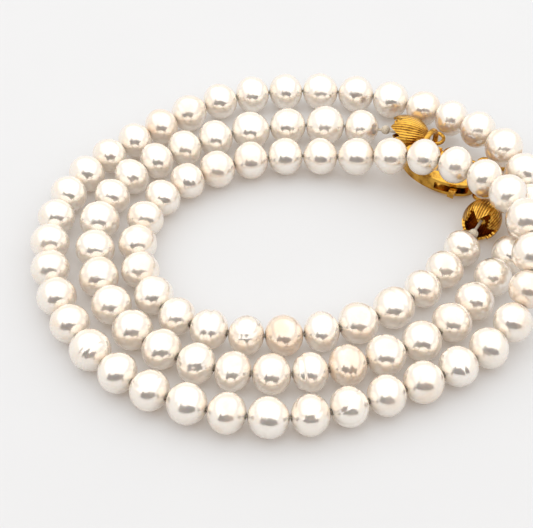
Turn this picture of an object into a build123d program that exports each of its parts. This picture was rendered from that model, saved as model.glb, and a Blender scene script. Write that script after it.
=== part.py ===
from build123d import *
import math
import os

# A pearl necklace laid in a loose coil: a knotless strand of off-round pearls on a silk
# thread, a petal cap at each end, a lobster clasp and an extension chain with a drop.
# Millimetres. +Z is up and z = 0 is the surface that the coil lies on.

# Pearls
PEARL_SIZE = 5.5  # nominal diameter of the widest grade, across its bore
# length along the bore and diameter across it of each grade, as shares of the nominal size
GRADES = {"s": (0.836, 0.935), "m": (0.891, 0.955), "l": (0.945, 0.975), "x": (1.0, 1.0)}
# the pearls in their order on the thread, from the clasp end to the chain end
STRAND = (
    "sss xls msm smm mss smm mml mss slx xmm mml mmm lml mmx mlm mss"
    " sss slm mml llm smx lsm lmm mll msm smm lll lls sss mxl xm"
)

# Thread
THREAD_DIAMETER = 0.4
BORE_CLEARANCE = 0.22  # round the thread, in a pearl's bore
KNOT_DIAMETER = 1.3
KNOT_OFFSET = 1.0  # from the end pearl to the middle of the knot
ARC_SHARE = 0.45  # of the shorter run beside a corner of the route
THREAD_REACH = 3.6  # from the rim of a cap to the end of the thread inside it

# Petal caps
CAP_LENGTH = 5.2
CAP_RADIUS = 2.65
CAP_MOUTH_RADIUS = 2.0
CAP_NECK_RADIUS = 0.95
CAP_WAIST_SHARE = 0.45  # of the length, from the petals' tips to the widest place
CAP_WALL = 0.45
CAP_GAP = 1.9  # from the end pearl to the tips of the petals
PETALS = 6
PETAL_DEPTH = 1.5
PETAL_TIP = 0.3
EYE_RADIUS = 1.15  # middle of its wire
EYE_WIRE = 0.27
CRIMP_RADIUS = 0.6
CRIMP_LENGTH = 1.8
GLUE_GAP = 0.03

# Rings, each with the radius of its wire's middle and of the wire
START_RING_RADIUS = 2.0
START_RING_WIRE = 0.25
START_RING_HEADING = 106  # degrees from +X, from the start cap's eye to the clasp's tail
END_RING_RADIUS = 2.5
END_RING_WIRE = 0.4

# Lobster clasp, in its own frame: x from the tail hole to the nose, z through its thickness
CLASP_REACH = 9.9  # from the tail hole to where a ring bears inside the nose
CLASP_TAIL_RISE = 1.35  # the tail hole over the surface
CLASP_NOSE_RISE = 2.3  # the bearing point over the surface
CLASP_WIDTH = 6.2
CLASP_NOSE_WALL = 1.2
CLASP_NOSE_GAP = 0.85  # past the ring, which slants through the thickness
CLASP_SIDE_WALL = 1.3
CLASP_THICKNESS = 2.2
TAIL_EYE_RADIUS = 1.08
TAIL_EYE_WIRE = 0.25
BODY_START = 1.1  # where the body leaves the tail eye
HOLLOW_LENGTH = 5.6
GATE_START = 5.0  # of the gap that the gate closes, along x
GATE_REACH = 5.2  # from the pivot to the gate's rounded tip
SLOT_START = 1.7
SLOT_END = 6.2
SLOT_HEIGHT = 1.2
LEVER_THICKNESS = 0.9
LEVER_GAP = 0.12
PIVOT_X = 3.4
PIVOT_Y = -0.3
BOSS_RADIUS = 0.85
PIN_RADIUS = 0.35
PIN_CLEARANCE = 0.04
NUB_REACH = 4.0
NUB_WIDTH = 0.9
SPRING_RADIUS = 0.55
SPRING_WIRE = 0.06

# Extension chain and its drop
LINK_WIRE = 0.25
LINK_WIDTH = 2.5
LINK_LENGTH = 3.6
LINK_PLAY = 0.07  # between the wires of two links, where one pulls on the next
LINK_ROLL = 45  # degrees from upright, to one side and the other in turn
RING_CONTACT = 1.85  # of the first link on the end ring, from the ring's middle towards the cap
CHAIN_HEADINGS = [-16, -30, -22, 0, 22, 12, -10, -28, -40, -50, -58]  # degrees from +X
DROP_RADIUS = 1.7
DROP_EYE_RADIUS = 0.6
DROP_EYE_WIRE = 0.22

# How far the strand's middle rises where it passes over something
CLASP_HEADROOM = 0.6
STRAND_HEADROOM = 0.4
CHAIN_ROLLED = 0.3  # how much less than their width the links take up, rolled over
OVER_CLASP = CLASP_NOSE_RISE + CLASP_THICKNESS / 2 + CLASP_HEADROOM
OVER_CHAIN = LINK_WIDTH - CHAIN_ROLLED
OVER_STRAND = PEARL_SIZE + STRAND_HEADROOM

# Route of the thread: points chosen for pearls of ROUTE_PEARL, as x, y and the height
# above a pearl that lies on the surface. The coil's middle is the origin of the points.
# The first two points belong to the clasp: they keep their distance from the last one.
ROUTE_PEARL = 5.5
CLASP_POINTS = 2
ROUTE = [
    (30.0, 7.0, 0.0),
    (26.0, -0.5, 0.0),
    (20.0, -8.0, 0.0),
    (12.0, -13.5, 0.0),
    (2.0, -15.5, 0.0),
    (-8.5, -14.5, 0.0),
    (-15.5, -8.5, 0.0),
    (-18.0, 1.5, 0.0),
    (-15.0, 10.5, 0.0),
    (-6.9, 16.3, 0.0),
    (2.5, 18.7, 0.0),
    (12.9, 17.5, 0.4),
    (21.8, 14.6, OVER_CLASP),
    (29.9, 10.3, OVER_CLASP - 0.2),
    (34.1, 2.3, OVER_STRAND),
    (34.8, -6.5, OVER_STRAND - 1.3),
    (32.0, -13.9, 0.6),
    (24.7, -20.3, 0.0),
    (14.5, -25.0, 0.0),
    (5.0, -28.5, 0.0),
    (-4.5, -28.0, 0.0),
    (-14.5, -24.5, 0.0),
    (-22.5, -18.0, 0.0),
    (-27.5, -9.0, 0.0),
    (-29.5, 1.0, 0.0),
    (-28.0, 10.5, 0.0),
    (-23.0, 18.0, 0.0),
    (-15.5, 24.5, 0.0),
    (-7.5, 30.5, 0.0),
    (2.5, 32.7, 0.0),
    (13.1, 32.2, 0.0),
    (22.5, 29.0, 0.0),
    (31.4, 21.1, OVER_CHAIN),
    (36.4, 12.7, OVER_CHAIN + 0.2),
    (36.0, 3.8, 0.0),
    (30.2, -4.1, 0.0),
    (24.3, -13.4, 0.0),
    (15.1, -18.7, 0.0),
    (5.5, -21.5, 0.0),
    (-4.0, -21.5, 0.0),
    (-13.5, -18.0, 0.0),
    (-20.5, -10.5, 0.0),
    (-23.5, 0.0, 0.0),
    (-22.0, 10.5, 0.0),
    (-16.0, 17.5, 0.0),
    (-7.5, 22.5, 0.0),
    (2.5, 25.0, 0.0),
    (13.5, 24.8, 0.0),
    (21.5, 22.8, 0.0),
]
# Middle of the whole footprint, from the coil's middle: the origin is put there
FOOTPRINT_X = 10.5
FOOTPRINT_Y = 2.1


# ---- measures worked out from the sizes above

UP = Vector(0, 0, 1)
REST = PEARL_SIZE / 2
ROUTE_SCALE = PEARL_SIZE / ROUTE_PEARL
PEARLS = STRAND.replace(" ", "")
BORE_RADIUS = THREAD_DIAMETER / 2 + BORE_CLEARANCE


def route_points():
    """The route's points at the size of these pearls, with the start kept beside the clasp."""
    points = [Vector(x * ROUTE_SCALE, y * ROUTE_SCALE, REST + lift) for x, y, lift in ROUTE]
    end_x, end_y, _ = ROUTE[-1]
    for number, (x, y, lift) in enumerate(ROUTE[:CLASP_POINTS]):
        beside = Vector(points[-1].X + x - end_x, points[-1].Y + y - end_y, REST + lift)
        points[number] = beside
    return points


def route_radii(points):
    """The radius of each corner's arc: as large as its two runs allow."""
    radii = []
    for before, corner, after in zip(points, points[1:], points[2:]):
        turn = math.radians((corner - before).get_angle(after - corner))
        shorter = min((corner - before).length, (after - corner).length)
        radii.append(ARC_SHARE * shorter / math.tan(turn / 2))
    return radii


def thread_path():
    """The thread's centre line: straight runs joined by tangent arcs."""
    points = route_points()
    return FilletPolyline(*points, radius=route_radii(points))


def frame_at(origin, x_dir, z_dir):
    """The location whose +X and +Z point the given ways."""
    return Plane(origin=origin, x_dir=x_dir, z_dir=z_dir).location


# ---- pearls and thread


def pearl(grade):
    """A drilled pearl with its bore along Z: a ball drawn out of round."""
    length, diameter = (share * PEARL_SIZE for share in GRADES[grade])
    body = scale(Sphere(1), by=(diameter / 2, diameter / 2, length / 2))
    return body - Cylinder(BORE_RADIUS, 2 * length)


def pearl_places(path):
    """The station of each pearl's middle along the path, spread over the thread between the caps."""
    lengths = [GRADES[grade][0] * PEARL_SIZE for grade in PEARLS]
    room = path.length - 2 * (THREAD_REACH + CAP_GAP)
    gap = (room - sum(lengths)) / (len(lengths) - 1)
    station = THREAD_REACH + CAP_GAP
    middles = []
    for length in lengths:
        middles.append(station + length / 2)
        station += length + gap
    print(f"gap between pearls {gap:.3f}")
    return middles


def strung_pearls(path):
    """Every pearl on its chord of the path, so that the thread stays inside the bore."""
    placed = []
    for grade, middle in zip(PEARLS, pearl_places(path)):
        half = GRADES[grade][0] * PEARL_SIZE / 2
        stations = (middle - half, middle, middle + half)
        start, centre, end = (path.position_at(station / path.length) for station in stations)
        chord = (end - start).normalized()
        seat = ((start + end) / 2 + centre) / 2
        placed.append((frame_at(seat, UP.cross(chord), chord) * pearl(grade)).solid())
    return placed


def thread(path):
    """The silk thread with a knot at each end of the strand."""
    section = frame_at(path @ 0, UP, path % 0) * Circle(THREAD_DIAMETER / 2)
    return sweep(section, path=path)


def knot(path, station):
    """A knot round the thread, between an end pearl and its cap."""
    ball = Sphere(KNOT_DIAMETER / 2) - Cylinder(THREAD_DIAMETER / 2, KNOT_DIAMETER)
    place = path.position_at(station / path.length)
    along = path.tangent_at(station / path.length)
    return frame_at(place, UP.cross(along), along) * ball


# ---- caps, in their own frame: Z from the petals' tips to the eye


def cap_shell(inset):
    """The cap's cup as a solid of revolution, pulled in by the inset."""
    rim = (CAP_MOUTH_RADIUS - inset, 0)
    waist = (CAP_RADIUS - inset, CAP_LENGTH * CAP_WAIST_SHARE)
    neck = (CAP_NECK_RADIUS - inset, CAP_LENGTH - inset)
    side = ThreePointArc(rim, waist, neck)
    outline = side + Line(neck, (0, neck[1])) + Line((0, neck[1]), (0, 0)) + Line((0, 0), rim)
    return revolve(Plane.XZ * make_face(outline), Axis.Z)


def petal_notch():
    """The pointed gap between two petals, on the +X side."""
    half_width = math.pi * CAP_MOUTH_RADIUS / PETALS - PETAL_TIP / 2
    flare = half_width / PETAL_DEPTH
    sides = [(-half_width - flare, -1), (half_width + flare, -1), (0, PETAL_DEPTH)]
    return extrude(Plane.YZ * make_face(Polyline(*sides, close=True)), CAP_RADIUS * 2)


def petal_cap():
    """A petal cap with a socket for the crimp and an eye, cast in one piece."""
    socket = Pos(0, 0, THREAD_REACH + GLUE_GAP) * Cylinder(
        CRIMP_RADIUS + GLUE_GAP, CRIMP_LENGTH, align=(Align.CENTER, Align.CENTER, Align.MAX)
    )
    cup = cap_shell(0) - cap_shell(CAP_WALL) - socket
    for number in range(PETALS):
        cup -= Rot(0, 0, (number + 0.5) * 360 / PETALS) * petal_notch()
    eye = Pos(0, 0, eye_height()) * Rot(90, 0, 0) * Torus(EYE_RADIUS, EYE_WIRE)
    return cup + eye


def eye_height():
    """The middle of the eye, from the petals' tips."""
    return CAP_LENGTH + EYE_RADIUS


def crimp():
    """A crimp tube on the end of the thread, glued in the cap's socket."""
    tube = Cylinder(CRIMP_RADIUS, CRIMP_LENGTH) - Cylinder(THREAD_DIAMETER / 2, CRIMP_LENGTH)
    return Pos(0, 0, THREAD_REACH - CRIMP_LENGTH / 2) * tube


# ---- rings, clasp and chain


def ring(radius, wire):
    """A closed round ring, about Z."""
    return Torus(radius, wire)


def hollow_end():
    """How far the hollow reaches towards the nose."""
    return CLASP_REACH + END_RING_WIRE + CLASP_NOSE_GAP


def clasp_outline(inset_side, inset_nose, start):
    """An oval in the clasp's plane, from start to the nose, pulled in by the insets."""
    long_radius = (hollow_end() + CLASP_NOSE_WALL - inset_nose - start) / 2
    return Pos(start + long_radius, 0) * Ellipse(long_radius, CLASP_WIDTH / 2 - inset_side)


def clasp_hollow():
    """The oval hollow inside the claw, where the end ring lies."""
    return clasp_outline(CLASP_SIDE_WALL, CLASP_NOSE_WALL, hollow_end() - HOLLOW_LENGTH)


def gate_zone(gap):
    """The part of the claw's side that the lever closes, wider by the gap at both ends.

    Its far end is an arc about the pivot, so that the lever's tip swings clear of the claw.
    """
    corner = (Align.MIN, Align.MAX)
    side = Pos(GATE_START - gap, PIVOT_Y) * Rectangle(GATE_REACH, CLASP_WIDTH, align=corner)
    return side & Pos(PIVOT_X, PIVOT_Y) * Circle(GATE_REACH + gap)


def clasp_body():
    """The claw with its tail eye, its hollow, its gate gap and the lever's slot."""
    flat = clasp_outline(0, 0, BODY_START) - clasp_hollow() - gate_zone(LEVER_GAP)
    body = extrude(flat, CLASP_THICKNESS / 2, both=True)
    corner = (Align.MIN, Align.CENTER, Align.CENTER)
    slot = Box(SLOT_END - SLOT_START, CLASP_WIDTH * 2, SLOT_HEIGHT, align=corner)
    body -= Pos(SLOT_START, 0, 0) * slot
    body -= Pos(PIVOT_X, PIVOT_Y, 0) * Cylinder(PIN_RADIUS, CLASP_THICKNESS * 2)
    return body + Rot(90, 0, 0) * Torus(TAIL_EYE_RADIUS, TAIL_EYE_WIRE)


def clasp_lever():
    """The gate: a finger that closes the claw, a boss on the pin and a thumb nub."""
    finger = (clasp_outline(0, 0, BODY_START) - clasp_hollow()) & gate_zone(0)
    arm = Pos(PIVOT_X, PIVOT_Y) * Rectangle(
        GATE_START - PIVOT_X + NUB_WIDTH, NUB_WIDTH * 2, align=(Align.MIN, Align.MAX)
    )
    nub = Pos(PIVOT_X, PIVOT_Y) * Rectangle(NUB_WIDTH, NUB_REACH, align=(Align.CENTER, Align.MIN))
    boss = Pos(PIVOT_X, PIVOT_Y) * Circle(BOSS_RADIUS)
    flat = finger + arm + nub + boss - Pos(PIVOT_X, PIVOT_Y) * Circle(PIN_RADIUS + PIN_CLEARANCE)
    return extrude(flat, LEVER_THICKNESS / 2, both=True)


def clasp_pin():
    """The pin that the lever turns on."""
    return Pos(PIVOT_X, PIVOT_Y, 0) * Cylinder(PIN_RADIUS, CLASP_THICKNESS)


def clasp_spring():
    """A turn of spring wire round the pin, between the lever and one cheek."""
    height = (LEVER_THICKNESS + SLOT_HEIGHT) / 4
    return Pos(PIVOT_X, PIVOT_Y, height) * Torus(SPRING_RADIUS, SPRING_WIRE)


def oval_ring(length, width, wire):
    """A long ring in the XY plane: two half turns joined by straight sides."""
    bend = width / 2 - wire
    straight = length - width
    section = Plane.XZ * Pos(bend, 0) * Circle(wire)
    turn = revolve(section, Axis.Z, 180)
    side = extrude(Plane.XZ * Circle(wire), straight / 2, both=True)
    whole = Pos(0, straight / 2, 0) * turn + Pos(0, -straight / 2, 0) * (Rot(0, 0, 180) * turn)
    whole += Pos(bend, 0, 0) * side + Pos(-bend, 0, 0) * side
    return Rot(0, 0, 90) * whole


def drop():
    """The weighted ball that ends the chain, with its eye. The eye's middle is the origin."""
    ball = Pos(DROP_EYE_RADIUS + DROP_RADIUS, 0, 0) * Sphere(DROP_RADIUS)
    return ball + Torus(DROP_EYE_RADIUS, DROP_EYE_WIRE)


# ---- places


def heading(degrees):
    """A level direction, turned from +X."""
    return Vector(math.cos(math.radians(degrees)), math.sin(math.radians(degrees)), 0)


def cap_place(end_point, outward, level_eye):
    """The cap on one end of the thread, its eye level or upright."""
    tips = end_point - outward * THREAD_REACH
    side = outward.cross(UP)
    return frame_at(tips, side if level_eye else UP, outward)


def closure(path):
    """Where the eyes, the rings and the clasp's tail and nose are, worked out from both ends.

    The start ring hangs on the start cap's eye and leads to the clasp's tail. The clasp then
    points so that its nose bears on the end ring, which stands on edge in the end cap's eye.
    """
    reach = eye_height() - THREAD_REACH
    start_eye = path @ 0 - (path % 0) * reach
    end_eye = path @ 1 + (path % 1) * reach
    drop_height = start_eye.Z - CLASP_TAIL_RISE
    level = math.sqrt((2 * START_RING_RADIUS) ** 2 - drop_height**2)
    tail = start_eye + heading(START_RING_HEADING) * level - UP * drop_height
    ring_rise = END_RING_RADIUS + END_RING_WIRE
    to_eye = math.sqrt(END_RING_RADIUS**2 - (end_eye.Z - ring_rise) ** 2)
    to_nose = math.sqrt(END_RING_RADIUS**2 - (CLASP_NOSE_RISE - ring_rise) ** 2)
    clasp_level = math.sqrt(CLASP_REACH**2 - (CLASP_NOSE_RISE - CLASP_TAIL_RISE) ** 2)
    across = end_eye - tail
    span = math.hypot(across.X, across.Y)
    bearing = math.degrees(math.atan2(across.Y, across.X))
    ring_level = to_eye + to_nose
    share = (clasp_level**2 + span**2 - ring_level**2) / (2 * clasp_level * span)
    lean = math.degrees(math.acos(share))
    nose = tail + heading(bearing + lean) * clasp_level + UP * (CLASP_NOSE_RISE - CLASP_TAIL_RISE)
    ring_way = Vector(nose.X - end_eye.X, nose.Y - end_eye.Y, 0).normalized()
    ring_middle = Vector(end_eye.X, end_eye.Y, ring_rise) + ring_way * to_eye
    return {
        "start_eye": start_eye,
        "tail": tail,
        "nose": nose,
        "end_eye": end_eye,
        "ring_middle": ring_middle,
        "ring_way": ring_way,
    }


def clasp_place(spots):
    """The clasp's frame: x to the nose, z as near up as its slope allows."""
    along = (spots["nose"] - spots["tail"]).normalized()
    side = UP.cross(along).normalized()
    return frame_at(spots["tail"], along, along.cross(side))


def start_ring_place(spots):
    """The start ring's frame: it holds both eyes at its two ends."""
    along = (spots["tail"] - spots["start_eye"]).normalized()
    side = UP.cross(along).normalized()
    return frame_at((spots["tail"] + spots["start_eye"]) / 2, along, along.cross(side))


def link_pitch():
    """From one joint of the chain to the next."""
    return LINK_LENGTH - 4 * LINK_WIRE - LINK_PLAY


def first_link(spots):
    """The first link's middle, its way and its normal: it is square to the end ring."""
    inward = -spots["ring_way"]
    low = math.sqrt(END_RING_RADIUS**2 - RING_CONTACT**2)
    contact = spots["ring_middle"] + inward * RING_CONTACT - UP * low
    way = UP.cross(inward) * -1
    normal = way.cross((contact - spots["ring_middle"]).normalized())
    pull = LINK_LENGTH / 2 - LINK_WIRE - (END_RING_WIRE + LINK_WIRE + LINK_PLAY)
    return contact, contact + way * pull, way, normal


def chain_places(spots):
    """Each link's start joint, middle, way and normal, one after the other."""
    contact, middle, way, normal = first_link(spots)
    links = [(contact, middle, way, normal)]
    rise = (LINK_WIDTH / 2 - LINK_WIRE) * math.sin(math.radians(LINK_ROLL)) + LINK_WIRE
    joint = middle + way * (link_pitch() / 2)
    joint = Vector(joint.X, joint.Y, rise)
    for number, degrees in enumerate(CHAIN_HEADINGS):
        way = heading(degrees)
        roll = math.radians(LINK_ROLL if number % 2 else -LINK_ROLL)
        normal = UP.cross(way) * math.cos(roll) + UP * math.sin(roll)
        links.append((joint, joint + way * (link_pitch() / 2), way, normal))
        joint = joint + way * link_pitch()
    return links, joint


def drop_place(joint, way, normal):
    """The drop's frame: its eye is square to the last link and its ball rests on the surface."""
    to_eye = DROP_EYE_RADIUS - DROP_EYE_WIRE - LINK_PLAY / 2
    tilt = math.asin((DROP_RADIUS - joint.Z) / (to_eye + DROP_EYE_RADIUS + DROP_RADIUS))
    along = way * math.cos(tilt) + UP * math.sin(tilt)
    return frame_at(joint + along * to_eye, along, normal.cross(along))


def build():
    """Every node of the necklace in its place, by name."""
    path = thread_path()
    points = route_points()
    radii = route_radii(points)
    print("arc radii", [round(radius, 1) for radius in radii])
    print(f"route length {path.length:.1f}")
    nodes = {"thread": thread(path)}
    strung = strung_pearls(path)
    words = STRAND.split()
    used = 0
    for number, word in enumerate(words, 1):
        nodes[f"pearls_{number:02d}"] = Compound(strung[used : used + len(word)])
        used += len(word)
    knot_station = THREAD_REACH + CAP_GAP - KNOT_OFFSET
    nodes["knot_start"] = knot(path, knot_station)
    nodes["knot_end"] = knot(path, path.length - knot_station)
    start_cap = cap_place(path @ 0, -(path % 0), False)
    end_cap = cap_place(path @ 1, path % 1, True)
    nodes["petal_cap_start"] = start_cap * petal_cap()
    nodes["petal_cap_end"] = end_cap * petal_cap()
    nodes["crimp_start"] = start_cap * crimp()
    nodes["crimp_end"] = end_cap * crimp()
    spots = closure(path)
    nodes["start_ring"] = start_ring_place(spots) * ring(START_RING_RADIUS, START_RING_WIRE)
    end_ring_place = frame_at(spots["ring_middle"], spots["ring_way"], UP.cross(spots["ring_way"]))
    nodes["end_ring"] = end_ring_place * ring(END_RING_RADIUS, END_RING_WIRE)
    place = clasp_place(spots)
    nodes["clasp_body"] = place * clasp_body()
    nodes["clasp_lever"] = place * clasp_lever()
    nodes["clasp_pin"] = place * clasp_pin()
    nodes["clasp_spring"] = place * clasp_spring()
    links, last = chain_places(spots)
    link = oval_ring(LINK_LENGTH, LINK_WIDTH, LINK_WIRE)
    for number, (_, middle, way, normal) in enumerate(links, 1):
        nodes[f"link_{number:02d}"] = frame_at(middle, way, normal) * link
    nodes["chain_drop"] = drop_place(last, links[-1][2], links[-1][3]) * drop()
    return nodes


def main():
    """Write every node to its own STEP file, with the footprint's middle at the origin."""
    os.makedirs("parts", exist_ok=True)
    for name, node in build().items():
        export_step(Pos(-FOOTPRINT_X, -FOOTPRINT_Y, 0) * node, f"parts/{name}.step")


if __name__ == "__main__":
    main()
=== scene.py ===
import math

import bpy
import numpy as np
from bpy.props import FloatProperty, FloatVectorProperty, PointerProperty
from mathutils import Matrix, Vector


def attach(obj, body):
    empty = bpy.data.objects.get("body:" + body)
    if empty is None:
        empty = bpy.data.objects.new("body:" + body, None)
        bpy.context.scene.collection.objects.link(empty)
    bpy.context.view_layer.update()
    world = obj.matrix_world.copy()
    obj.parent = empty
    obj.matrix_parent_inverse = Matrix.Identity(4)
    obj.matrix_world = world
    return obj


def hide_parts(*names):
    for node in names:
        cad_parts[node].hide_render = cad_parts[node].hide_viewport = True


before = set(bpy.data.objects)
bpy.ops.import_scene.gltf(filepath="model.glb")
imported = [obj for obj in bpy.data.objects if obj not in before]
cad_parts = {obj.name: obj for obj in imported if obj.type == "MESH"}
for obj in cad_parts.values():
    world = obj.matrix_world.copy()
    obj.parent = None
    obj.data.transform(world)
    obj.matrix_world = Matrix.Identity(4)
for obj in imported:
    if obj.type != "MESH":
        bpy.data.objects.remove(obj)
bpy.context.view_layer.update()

bl_info = {
    "name": "Pearl Necklace",
    "version": (1, 0, 0),
    "blender": (4, 2, 0),
    "location": "View3D > Sidebar > Necklace",
    "description": "Builds a necklace of off-round pearls with gold findings",
    "category": "Add Mesh",
}

MM = 0.001
ROOT = "strand"
UP = np.array([0.0, 0.0, 1.0])

# ---- the thread's route and the pearls on it, as the solid model has them

PEARL = 5.5 * MM
# length along the bore and diameter across it, as shares of the nominal size
GRADES = {"s": (0.836, 0.935), "m": (0.891, 0.955), "l": (0.945, 0.975), "x": (1.0, 1.0)}
RUNS = (
    "sss xls msm smm mss smm mml mss slx xmm mml mmm lml mmx mlm mss"
    " sss slm mml llm smx lsm lmm mll msm smm lll lls sss mxl xm"
).split()
THREAD = 0.4 * MM
THREAD_REACH = 3.6 * MM
CAP_GAP = 1.9 * MM
BORE = 0.42 * MM
# control points of the thread, in millimetres, from the clasp's end to the chain's end
ROUTE = (
    (19.5, 4.9, 2.75), (15.5, -2.6, 2.75), (9.5, -10.1, 2.75), (1.5, -15.6, 2.75),
    (-8.5, -17.6, 2.75), (-19.0, -16.6, 2.75), (-26.0, -10.6, 2.75), (-28.5, -0.6, 2.75),
    (-25.5, 8.4, 2.75), (-17.4, 14.2, 2.75), (-8.0, 16.6, 2.75), (2.4, 15.4, 3.15),
    (11.3, 12.5, 6.75), (19.4, 8.2, 6.55), (23.6, 0.2, 8.65), (24.3, -8.6, 7.35),
    (21.5, -16.0, 3.35), (14.2, -22.4, 2.75), (4.0, -27.1, 2.75), (-5.5, -30.6, 2.75),
    (-15.0, -30.1, 2.75), (-25.0, -26.6, 2.75), (-33.0, -20.1, 2.75), (-38.0, -11.1, 2.75),
    (-40.0, -1.1, 2.75), (-38.5, 8.4, 2.75), (-33.5, 15.9, 2.75), (-26.0, 22.4, 2.75),
    (-18.0, 28.4, 2.75), (-8.0, 30.6, 2.75), (2.6, 30.1, 2.75), (12.0, 26.9, 2.75),
    (20.9, 19.0, 4.95), (25.9, 10.6, 5.15), (25.5, 1.7, 2.75), (19.7, -6.2, 2.75),
    (13.8, -15.5, 2.75), (4.6, -20.8, 2.75), (-5.0, -23.6, 2.75), (-14.5, -23.6, 2.75),
    (-24.0, -20.1, 2.75), (-31.0, -12.6, 2.75), (-34.0, -2.1, 2.75), (-32.5, 8.4, 2.75),
    (-26.5, 15.4, 2.75), (-18.0, 20.4, 2.75), (-8.0, 22.9, 2.75), (3.0, 22.7, 2.75),
    (11.0, 20.7, 2.75),
)

# ---- how single pearls differ. A pearl's own axes: Z along its bore, Y up, X to the side.
# groove: turn and lean of its axis in degrees (lean 0 is the bore), its place along that
# axis, its width and its depth, as shares of the pearl's radius
GROOVES = {
    1: [(0, 0, 0.15, 0.11, 0.035)],
    4: [(0, 0, -0.1, 0.08, 0.032)],
    8: [(90, 88, 0.88, 0.03, 0.02), (94, 85, 0.64, 0.035, 0.032), (86, 95, 0.5, 0.03, 0.03)],
    9: [(0, 10, 0.02, 0.13, 0.085)],
    13: [(0, 0, 0.12, 0.2, 0.03)],
    32: [(0, 0, 0.2, 0.07, 0.035)],
    35: [(60, 70, 0.45, 0.06, 0.03), (125, 62, 0.42, 0.05, 0.03)],
    36: [(90, 84, 0.72, 0.03, 0.03), (80, 92, 0.52, 0.03, 0.02)],
    40: [(95, 76, 0.74, 0.035, 0.045)],
    42: [(0, 0, -0.34, 0.05, 0.03), (0, 0, -0.56, 0.05, 0.03)],
    45: [(0, 0, 0.2, 0.08, 0.03)],
    73: [(0, 0, 0.1, 0.09, 0.03)],
    74: [(0, 0, 0.45, 0.13, 0.06)],
    77: [(90, 80, 0.56, 0.04, 0.028), (96, 84, 0.42, 0.03, 0.025)],
}
# bump: turn and lean of its middle, its width and its height, as shares of the radius
BUMPS = {11: [(80, 60, 0.4, 0.04)], 41: [(0, 90, 0.55, 0.03)], 82: [(60, 80, 0.6, 0.025)]}
# pearls of a peach tone, by number, and how far
PEACH = {7: 0.75, 73: 0.65, 29: 0.5, 52: 0.45, 66: 0.5}

PETALS = 6
VEINS = 42

# ---- caps: the thread's end inside each, the way to its eye, and whether the eye lies level
CAP_START = ((19.5, 4.9, 2.75), (0.4706, 0.8824, 0.0), False)
CAP_END = ((11.0, 20.7, 2.75), (0.9701, -0.2425, 0.0), True)


# ---- how a pearl's surface is drawn

PEARL_RINGS = 40  # from one rim of the bore to the other
PEARL_SPOKES = 64  # round the bore
SHAPE_SEED = 7100
TONE_SEED = 300
OWN_STEP = 3.7  # between two pearls' own coordinates, so that their noise differs
PLAIN_TONE = 0.3  # most that a pearl outside PEACH is warmed
WAVE_COUNT = 5
WAVE_TURN = 1.5  # spread of the wave vectors, in radians per radius
WAVE_SHARE = 0.6  # of the waviness, in each wave
DRAWN = 0.035  # most that one direction is drawn out or in, as a share of the radius
MOST_FAINT_GROOVES = 2

# ---- the stage, in metres, watts and degrees

FLOOR_SIDE = 6.0
CARD_BACK = -0.4  # y of the dark card
CARD_OUTLINE = (  # x and z
    (-0.42, 0.03), (0.38, 0.03), (0.38, 0.27), (0.16, 0.33), (0.03, 0.4),
    (-0.1, 0.33), (-0.28, 0.34), (-0.32, 0.48), (-0.42, 0.48),
)
TENT_PLACE = (0.0, -0.05, 0.75)
TENT_SIDE = 2.6
TENT_POWER = 12.0
SKY_COLOUR = (1.0, 0.965, 0.92, 1)
SKY_STRENGTH = 0.96
CAMERA_PLACE = (-0.0105, -0.14915, 0.15587)
CAMERA_PITCH = 46.67  # below the horizon
CAMERA_LENS = 107.46  # millimetres, on a frame 36 mm wide
CAMERA_FRAME = 36


# ---- settings


class NecklaceSettings(bpy.types.PropertyGroup):
    """Sizes and colours of the necklace."""

    body_colour: FloatVectorProperty(
        name="Nacre", description="Body colour of the pearls", subtype="COLOR",
        size=4, min=0, max=1, default=(0.965, 0.91, 0.84, 1),
    )
    blush_colour: FloatVectorProperty(
        name="Blush", description="Warmer patches in the nacre", subtype="COLOR",
        size=4, min=0, max=1, default=(0.88, 0.66, 0.47, 1),
    )
    gold_colour: FloatVectorProperty(
        name="Gold", description="Colour of the plated findings", subtype="COLOR",
        size=4, min=0, max=1, default=(0.8, 0.46, 0.08, 1),
    )
    silk_colour: FloatVectorProperty(
        name="Silk", description="Colour of the thread", subtype="COLOR",
        size=4, min=0, max=1, default=(0.8, 0.7, 0.55, 1),
    )
    waviness: FloatProperty(
        name="Waviness", description="How far a pearl departs from an even ball",
        default=0.016, min=0, max=0.05,
    )
    thread_diameter: FloatProperty(
        name="Thread", description="Diameter of the silk thread", default=THREAD, unit="LENGTH",
    )


# ---- shader expressions


class Value:
    """A socket that Python operators turn into Math nodes."""

    def __init__(self, shader, socket):
        self.shader = shader
        self.socket = socket

    def math(self, operation, *others):
        """The result of one Math node on this value and the others."""
        settings = {"operation": operation}
        return self.shader.add("ShaderNodeMath", settings, dict(enumerate((self, *others))))

    def swapped(self, operation, other):
        """The same with the other value first."""
        return self.shader.add("ShaderNodeMath", {"operation": operation}, {0: other, 1: self})

    def __add__(self, other):
        return self.math("ADD", other)

    def __radd__(self, other):
        return self.math("ADD", other)

    def __sub__(self, other):
        return self.math("SUBTRACT", other)

    def __rsub__(self, other):
        return self.swapped("SUBTRACT", other)

    def __mul__(self, other):
        return self.math("MULTIPLY", other)

    def __rmul__(self, other):
        return self.math("MULTIPLY", other)

    def __truediv__(self, other):
        return self.math("DIVIDE", other)


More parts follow.
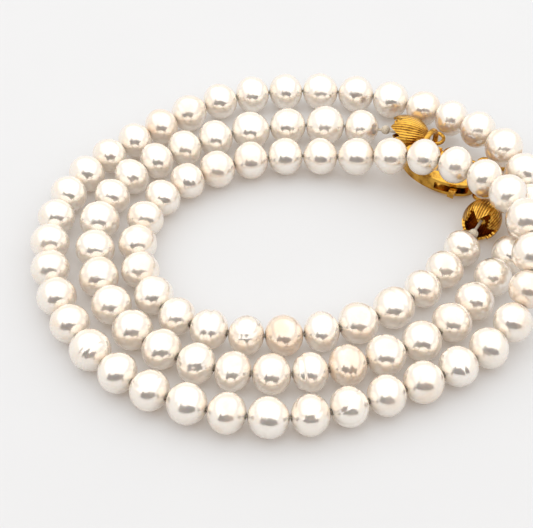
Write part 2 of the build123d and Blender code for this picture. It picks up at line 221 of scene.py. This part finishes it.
class Finish:
    """A material made of a Principled shader and what feeds it."""

    def __init__(self, name):
        self.material = bpy.data.materials.new(name)
        self.material.use_nodes = True
        self.tree = self.material.node_tree
        self.shader = next(n for n in self.tree.nodes if n.type == "BSDF_PRINCIPLED")

    def put(self, socket, value):
        """Link a value to a socket, or set it."""
        if isinstance(value, Value):
            self.tree.links.new(value.socket, socket)
        else:
            socket.default_value = value

    def add(self, kind, settings=None, inputs=None, output=0):
        """One node: its type, its settings, then its inputs. Gives one of its outputs."""
        node = self.tree.nodes.new(kind)
        for key, value in (settings or {}).items():
            setattr(node, key, value)
        for key, value in (inputs or {}).items():
            self.put(node.inputs[key], value)
        return Value(self, node.outputs[output])

    def mix(self, factor, first, second):
        """One colour passing into another."""
        inputs = {0: factor, 6: first, 7: second}
        return self.add("ShaderNodeMix", {"data_type": "RGBA"}, inputs, 2)

    def noise(self, where, scale, detail=2.0, roughness=0.5):
        """Soft noise from 0 to 1."""
        inputs = {"Vector": where, "Scale": scale, "Detail": detail, "Roughness": roughness}
        return self.add("ShaderNodeTexNoise", None, inputs)

    def spread(self, value, low, high, to_low=0.0, to_high=1.0):
        """A value's range stretched to another and held inside it."""
        inputs = {"Value": value, 1: low, 2: high, 3: to_low, 4: to_high}
        return self.add("ShaderNodeMapRange", {"interpolation_type": "SMOOTHSTEP"}, inputs)

    def place(self):
        """Object coordinates."""
        return self.add("ShaderNodeTexCoord", None, None, "Object")

    def bump(self, height, distance, strength):
        """A normal bent by a height."""
        inputs = {"Height": height, "Distance": distance, "Strength": strength}
        return self.add("ShaderNodeBump", None, inputs)

    def set(self, **values):
        """Values and links of the Principled shader's own sockets."""
        for name, value in values.items():
            self.put(self.shader.inputs[name.replace("_", " ")], value)
        return self.material


def nacre(settings):
    """Pearl: soft patches of blush, faint cloud in the gloss and a very fine skin."""
    finish = Finish("nacre")
    where = finish.add("ShaderNodeAttribute", {"attribute_name": "own"}, None, "Vector")
    tone = finish.add("ShaderNodeAttribute", {"attribute_name": "tone"}, None, "Fac")
    place = finish.place()
    patches = finish.spread(finish.noise(where, scale=1.1), 0.42, 0.72)
    cloud = finish.noise(place, scale=900.0, detail=3.0)
    blush = finish.spread(patches * 0.35 + tone * 0.65, 0.0, 1.0, 0.0, 0.85)
    colour = finish.mix(blush, tuple(settings.body_colour), tuple(settings.blush_colour))
    colour = finish.mix(cloud * 0.22, colour, (0.93, 0.88, 0.8, 1))
    skin = finish.noise(place, scale=5200.0, detail=3.0, roughness=0.6)
    dimples = finish.noise(where, scale=2.4, detail=1.0)
    height = skin * 0.06 + dimples
    normal = finish.bump(height, distance=0.03 * MM, strength=0.35)
    return finish.set(
        Base_Color=colour,
        Roughness=finish.spread(cloud, 0.3, 0.7, 0.15, 0.23),
        Metallic=finish.spread(patches, 0.0, 1.0, 0.66, 0.52),
        IOR=1.66,
        Normal=normal,
        Coat_Weight=finish.spread(dimples, 0.3, 0.7, 0.3, 0.5),
        Coat_Roughness=0.07,
        Coat_IOR=1.6,
        Subsurface_Weight=0.12,
        Subsurface_Radius=(1.0, 0.55, 0.3),
        Subsurface_Scale=1.2 * MM,
    )


def silk(settings):
    """Silk thread: fine fibres across its surface, with painted shade between them, so that
    their crowns read lighter.
    """
    finish = Finish("silk")
    place = finish.place()
    fibres = finish.noise(place, scale=9000.0, detail=3.0, roughness=0.65)
    wear = finish.noise(place, scale=1400.0)
    colour = tuple(settings.silk_colour)
    # painted shade: the colour falls to 0.6 of itself in the low places of the fibre bump
    dark = tuple(0.6 * c for c in colour[:3]) + (1,)
    return finish.set(
        Base_Color=finish.mix(finish.spread(fibres, 0.35, 0.65), dark, colour),
        Roughness=finish.spread(wear, 0.3, 0.7, 0.55, 0.8),
        Normal=finish.bump(fibres, distance=0.08 * MM, strength=0.6),
        Sheen_Weight=0.3,
    )


def gold_surface(finish, settings, height, depth):
    """The plating: painted shade, a dark brown in the hollows of a height and in patches of the
    wear noise, with fine wear in the gloss.
    """
    place = finish.place()
    wear = finish.noise(place, scale=1300.0, detail=4.0, roughness=0.6)
    scuffs = finish.noise(place, scale=7000.0)
    colour = tuple(settings.gold_colour)
    # painted shade: the dark brown that the colour goes to in the hollows of the height and in
    # patches of the wear noise
    painted_shade = (0.3 * colour[0], 0.2 * colour[1], 0.12 * colour[2], 1)
    shade = finish.spread(wear * 0.5 + height * 0.5, 0.25, 0.62)
    surface = height + scuffs * 0.05 + wear * 0.12
    return finish.set(
        Base_Color=finish.mix(shade, painted_shade, colour),
        Metallic=1.0,
        Roughness=finish.spread(wear + scuffs * 0.4, 0.4, 0.9, 0.09, 0.24),
        Normal=finish.bump(surface, distance=depth, strength=0.7),
    )


def gold(settings):
    """Plain plated findings with the soft unevenness of a casting."""
    finish = Finish("gold")
    cast = finish.noise(finish.place(), scale=620.0)
    # the casting's height bends the normal and, in gold_surface, is painted darker in its
    # hollows as shade
    return gold_surface(finish, settings, cast, depth=0.12 * MM)


def veined_gold(settings, name, tips, outward, level):
    """Petal cap: each petal has a midrib and fine veins that run to its tip."""
    finish = Finish(name)
    turn = cap_axes(outward, level).to_euler()
    mapping = {"Vector": finish.place(), "Location": tips, "Rotation": turn}
    own = finish.add("ShaderNodeMapping", {"vector_type": "TEXTURE"}, mapping)
    split = finish.add("ShaderNodeSeparateXYZ", None, {0: own})
    across = Value(finish, split.socket.node.outputs["Y"])
    around = split.math("ARCTAN2", across)
    petals = (around * PETALS).math("COSINE") * 0.5 + 0.5
    veins = (around * VEINS).math("COSINE") * 0.5 + 0.5
    grain = finish.noise(own, scale=2600.0)
    # the petals and veins bend the normal and, in gold_surface, are painted darker in their
    # furrows as shade
    height = petals * 0.45 + veins * 0.4 + grain * 0.15
    return gold_surface(finish, settings, height, depth=0.2 * MM)


# ---- geometry


def cap_axes(outward, level):
    """Turn of a cap: Z outward; X level and across, or up, as its eye lies or stands."""
    along = Vector(outward).normalized()
    first = along.cross(Vector((0, 0, 1))) if level else Vector((0, 0, 1))
    return Matrix((first, along.cross(first), along)).transposed()


def thread_line(thread):
    """The thread's centre line as it is drawn, with the length run at each of its points."""
    line = thread.copy()
    line.data = thread.data.copy()
    line.data.bevel_depth = 0
    line.data.resolution_u = 60
    bpy.context.collection.objects.link(line)
    bpy.context.view_layer.update()
    graph = bpy.context.evaluated_depsgraph_get()
    drawn = bpy.data.meshes.new_from_object(line.evaluated_get(graph))
    points = np.zeros(len(drawn.vertices) * 3)
    drawn.vertices.foreach_get("co", points)
    points = points.reshape(-1, 3)
    bpy.data.meshes.remove(drawn)
    curve = line.data
    bpy.data.objects.remove(line)
    bpy.data.curves.remove(curve)
    steps = np.linalg.norm(np.diff(points, axis=0), axis=1)
    return points, np.concatenate([[0.0], np.cumsum(steps)])


def pearl_seats(points, run):
    """Middle, bore direction, length and diameter of every pearl, packed evenly on the thread.

    A pearl lies on the chord between the thread's points half its length before and after
    its middle, half way out to the thread's own middle there.
    """
    shares = np.array([GRADES[grade] for grade in "".join(RUNS)])
    lengths = shares[:, 0] * PEARL
    diameters = shares[:, 1] * PEARL
    room = run[-1] - 2 * (THREAD_REACH + CAP_GAP)
    gap = (room - lengths.sum()) / (len(lengths) - 1)
    starts = THREAD_REACH + CAP_GAP + np.concatenate([[0.0], np.cumsum(lengths + gap)[:-1]])
    middles = starts + lengths / 2

    def at(stations):
        return np.stack([np.interp(stations, run, points[:, k]) for k in range(3)], axis=1)

    first, last = at(middles - lengths / 2), at(middles + lengths / 2)
    chords = last - first
    chords /= np.linalg.norm(chords, axis=1, keepdims=True)
    seats = ((first + last) / 2 + at(middles)) / 2
    return seats, chords, lengths, diameters


def direction(turn, lean):
    """Unit vector that leans from Z and is turned about Z, both in degrees."""
    turn, lean = math.radians(turn), math.radians(lean)
    across = math.sin(lean)
    return np.array([across * math.cos(turn), across * math.sin(turn), math.cos(lean)])


def swelling(own, number, waviness):
    """How far each point stands out of the even ball, as a share of the radius.

    The sum of soft waves, cos(wave vector . direction + phase), less a bell-shaped groove
    exp(-((height along its axis - place) / width)^2) for each ring, plus a bell-shaped bump
    exp(-2 (1 - cosine of the angle to its middle) / width^2) for each lobe. One direction
    is drawn out or in by a share of its squared cosine.
    """
    rng = np.random.default_rng(SHAPE_SEED + number)
    waves = rng.normal(size=(WAVE_COUNT, 3)) * WAVE_TURN
    phases = rng.uniform(0, 2 * math.pi, WAVE_COUNT)
    stand = waviness * WAVE_SHARE * np.cos(own @ waves.T + phases).sum(axis=-1)
    drawn = direction(rng.uniform(0, 360), rng.uniform(30, 90))
    stand += rng.uniform(-DRAWN, DRAWN) * (own @ drawn) ** 2
    grooves = list(GROOVES.get(number, []))
    for _ in range(rng.integers(0, MOST_FAINT_GROOVES + 1)):
        grooves.append((
            rng.uniform(0, 360), rng.uniform(0, 22), rng.uniform(-0.6, 0.6),
            rng.uniform(0.035, 0.08), rng.uniform(0.004, 0.016),
        ))
    for turn, lean, place, width, depth in grooves:
        stand -= depth * np.exp(-(((own @ direction(turn, lean)) - place) / width) ** 2)
    for turn, lean, width, height in BUMPS.get(number, []):
        stand += height * np.exp(-2 * (1 - own @ direction(turn, lean)) / width**2)
    return stand * (1 - own[..., 2] ** 8)


def pearl_mesh(number, seat, chord, length, diameter, waviness):
    """A drilled pearl on a grid of rings round its bore.

    A point's direction goes from one rim of the bore to the other, and its place is the
    ball drawn out of round, times one plus the swelling. The last ring joins the first
    through the bore, so that the skin is closed. Nothing reaches below the surface.
    """
    rim = math.asin(BORE / (diameter / 2))
    theta = np.linspace(rim, math.pi - rim, PEARL_RINGS)
    phi = np.linspace(0, 2 * math.pi, PEARL_SPOKES, endpoint=False)
    theta, phi = np.meshgrid(theta, phi, indexing="ij")
    own = np.stack(
        [np.sin(theta) * np.cos(phi), np.sin(theta) * np.sin(phi), np.cos(theta)], axis=-1
    )
    size = np.array([diameter, diameter, length]) / 2
    skin = own * size * (1 + swelling(own, number, waviness))[..., None]
    side = np.cross(UP, chord)
    side /= np.linalg.norm(side)
    axes = np.stack([side, np.cross(chord, side), chord])
    points = (skin.reshape(-1, 3) @ axes) + seat
    points[:, 2] = np.maximum(points[:, 2], 0.0)
    ring, spoke = np.meshgrid(np.arange(PEARL_RINGS), np.arange(PEARL_SPOKES), indexing="ij")
    next_ring, next_spoke = (ring + 1) % PEARL_RINGS, (spoke + 1) % PEARL_SPOKES
    corners = ((ring, spoke), (next_ring, spoke), (next_ring, next_spoke), (ring, next_spoke))
    faces = np.stack([r * PEARL_SPOKES + s for r, s in corners], axis=-1).reshape(-1, 4)
    mesh = bpy.data.meshes.new(f"pearl_{number:02d}")
    mesh.from_pydata(points.tolist(), [], faces.tolist())
    mesh.attributes.new("own", "FLOAT_VECTOR", "POINT").data.foreach_set(
        "vector", (own.reshape(-1, 3) + number * OWN_STEP).ravel()
    )
    rng = np.random.default_rng(TONE_SEED + number)
    tone = PEACH.get(number, rng.uniform(0.0, PLAIN_TONE))
    mesh.attributes.new("tone", "FLOAT", "POINT").data.foreach_set(
        "value", np.full(len(points), tone)
    )
    mesh.polygons.foreach_set("use_smooth", np.ones(len(faces), bool))
    mesh.update()
    return mesh


def show(name, data, material=None):
    """A new object at the origin, in the scene."""
    made = bpy.data.objects.new(name, data)
    if material:
        data.materials.append(material)
    bpy.context.collection.objects.link(made)
    return made


def dress(name, material):
    """Give a part of the solid model its finish."""
    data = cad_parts[name].data
    data.materials.clear()
    data.materials.append(material)


# ---- stage


def paper():
    """The floor: pale paper with faint grain, with a faint warm glow that is painted light,
    lifting its shadows between the pearls.
    """
    finish = Finish("paper")
    grain = finish.noise(finish.place(), scale=60.0)
    return finish.set(
        Base_Color=finish.mix(grain, (0.555, 0.6, 0.645, 1), (0.57, 0.615, 0.66, 1)),
        # painted light: a warm glow that lightens the floor's shadows and the gaps between the
        # pearls
        Emission_Color=(0.16, 0.115, 0.08, 1),
        Emission_Strength=1.0,
        Roughness=0.9,
        Specular_IOR_Level=0.1,
    )


def dark_card():
    """The dull dark face of the card."""
    return Finish("dark_card").set(Base_Color=(0.035, 0.014, 0.018, 1), Roughness=0.9)


def sheet_mesh(name, side):
    """A flat square on the resting surface, about the origin."""
    half = side / 2
    mesh = bpy.data.meshes.new(name)
    corners = [(-half, -half, 0), (half, -half, 0), (half, half, 0), (-half, half, 0)]
    mesh.from_pydata(corners, [], [(0, 1, 2, 3)])
    return mesh


def card_mesh():
    """The upright card behind the camera, with one end higher: its outline, y fixed."""
    mesh = bpy.data.meshes.new("card")
    points = [(x, CARD_BACK, z) for x, z in CARD_OUTLINE]
    mesh.from_pydata(points, [], [tuple(range(len(points)))])
    return mesh


def add_light(name, place, side, power):
    """A soft square light that faces straight down."""
    lamp = bpy.data.lights.new(name, "AREA")
    lamp.shape = "SQUARE"
    lamp.size, lamp.energy = side, power
    light = bpy.data.objects.new(name, lamp)
    light.location = place
    bpy.context.collection.objects.link(light)


def add_sky(scene):
    """A bright, slightly warm surround."""
    world = bpy.data.worlds.new("studio")
    world.use_nodes = True
    backdrop = world.node_tree.nodes["Background"]
    backdrop.inputs["Color"].default_value = SKY_COLOUR
    backdrop.inputs["Strength"].default_value = SKY_STRENGTH
    scene.world = world


def add_camera(scene):
    """The camera, level across and tilted down."""
    view = bpy.data.cameras.new("camera")
    view.lens = CAMERA_LENS
    view.sensor_width = CAMERA_FRAME
    view.clip_start = 0.005
    camera = bpy.data.objects.new("camera", view)
    camera.location = CAMERA_PLACE
    camera.rotation_euler = (math.radians(90 - CAMERA_PITCH), 0, 0)
    scene.collection.objects.link(camera)
    scene.camera = camera


# ---- operators


class NECKLACE_OT_thread(bpy.types.Operator):
    """Lay the silk thread along its route, with its knots"""

    bl_idname = "necklace.thread"
    bl_label = "Lay the thread"

    def execute(self, context):
        settings = context.scene.necklace
        line = bpy.data.curves.new("silk_thread", "CURVE")
        line.dimensions = "3D"
        spline = line.splines.new("NURBS")
        spline.points.add(len(ROUTE) - 1)
        points = np.ones((len(ROUTE), 4))
        points[:, :3] = np.array(ROUTE) * MM
        spline.points.foreach_set("co", points.ravel())
        spline.order_u = 3
        spline.use_endpoint_u = True
        line.resolution_u = 12
        line.bevel_depth = settings.thread_diameter / 2
        line.bevel_resolution = 2
        line.use_fill_caps = True
        finish = silk(settings)
        thread = show("silk_thread", line, finish)
        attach(thread, ROOT)
        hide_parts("thread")
        dress("knot_start", finish)
        dress("knot_end", finish)
        return {"FINISHED"}


class NECKLACE_OT_pearls(bpy.types.Operator):
    """String the pearls on the thread"""

    bl_idname = "necklace.pearls"
    bl_label = "String the pearls"

    def execute(self, context):
        settings = context.scene.necklace
        thread = bpy.data.objects["silk_thread"]
        points, run = thread_line(thread)
        finish = nacre(settings)
        seats = zip(*pearl_seats(points, run))
        names = [f"pearls_{k:02d}" for k, word in enumerate(RUNS, 1) for _ in word]
        for number, (node, spot) in enumerate(zip(names, seats), 1):
            mesh = pearl_mesh(number, *spot, settings.waviness)
            pearl = show(f"pearl_{number:02d}", mesh, finish)
            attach(pearl, ROOT)
            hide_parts(node)
        return {"FINISHED"}


class NECKLACE_OT_findings(bpy.types.Operator):
    """Plate the caps, the rings, the clasp and the chain"""

    bl_idname = "necklace.findings"
    bl_label = "Plate the findings"

    def execute(self, context):
        settings = context.scene.necklace
        plain = gold(settings)
        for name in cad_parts:
            if not name.startswith(("pearls", "thread", "knot")):
                dress(name, plain)
        for end, (point, outward, level) in (("start", CAP_START), ("end", CAP_END)):
            tips = (Vector(point) * MM) - Vector(outward) * THREAD_REACH
            finish = veined_gold(settings, f"veined_gold_{end}", tips, outward, level)
            dress(f"petal_cap_{end}", finish)
        return {"FINISHED"}


class NECKLACE_OT_stage(bpy.types.Operator):
    """Set the floor, the lights and the camera"""

    bl_idname = "necklace.stage"
    bl_label = "Set the stage"

    def execute(self, context):
        floor = show("floor", sheet_mesh("floor", FLOOR_SIDE), paper())
        card = show("card", card_mesh(), dark_card())
        card.visible_camera = False
        card.visible_shadow = False
        add_light("tent_top", TENT_PLACE, TENT_SIDE, TENT_POWER)
        add_sky(context.scene)
        add_camera(context.scene)
        context.scene.view_settings.view_transform = "Standard"
        return {"FINISHED"}


class NECKLACE_PT_sidebar(bpy.types.Panel):
    """The steps that build the necklace"""

    bl_label = "Pearl Necklace"
    bl_idname = "NECKLACE_PT_sidebar"
    bl_space_type = "VIEW_3D"
    bl_region_type = "UI"
    bl_category = "Necklace"

    def draw(self, context):
        for name in NecklaceSettings.__annotations__:
            self.layout.prop(context.scene.necklace, name)
        for step in STEPS:
            self.layout.operator(step.bl_idname)


STEPS = (NECKLACE_OT_thread, NECKLACE_OT_pearls, NECKLACE_OT_findings, NECKLACE_OT_stage)
CLASSES = (NecklaceSettings, *STEPS, NECKLACE_PT_sidebar)


def register():
    for made in CLASSES:
        bpy.utils.register_class(made)
    bpy.types.Scene.necklace = PointerProperty(type=NecklaceSettings)


def unregister():
    del bpy.types.Scene.necklace
    for made in reversed(CLASSES):
        bpy.utils.unregister_class(made)


def main():
    """Build the necklace."""
    register()
    bpy.ops.necklace.thread()
    bpy.ops.necklace.pearls()
    bpy.ops.necklace.findings()
    bpy.ops.necklace.stage()


if __name__ == "__main__":
    main()
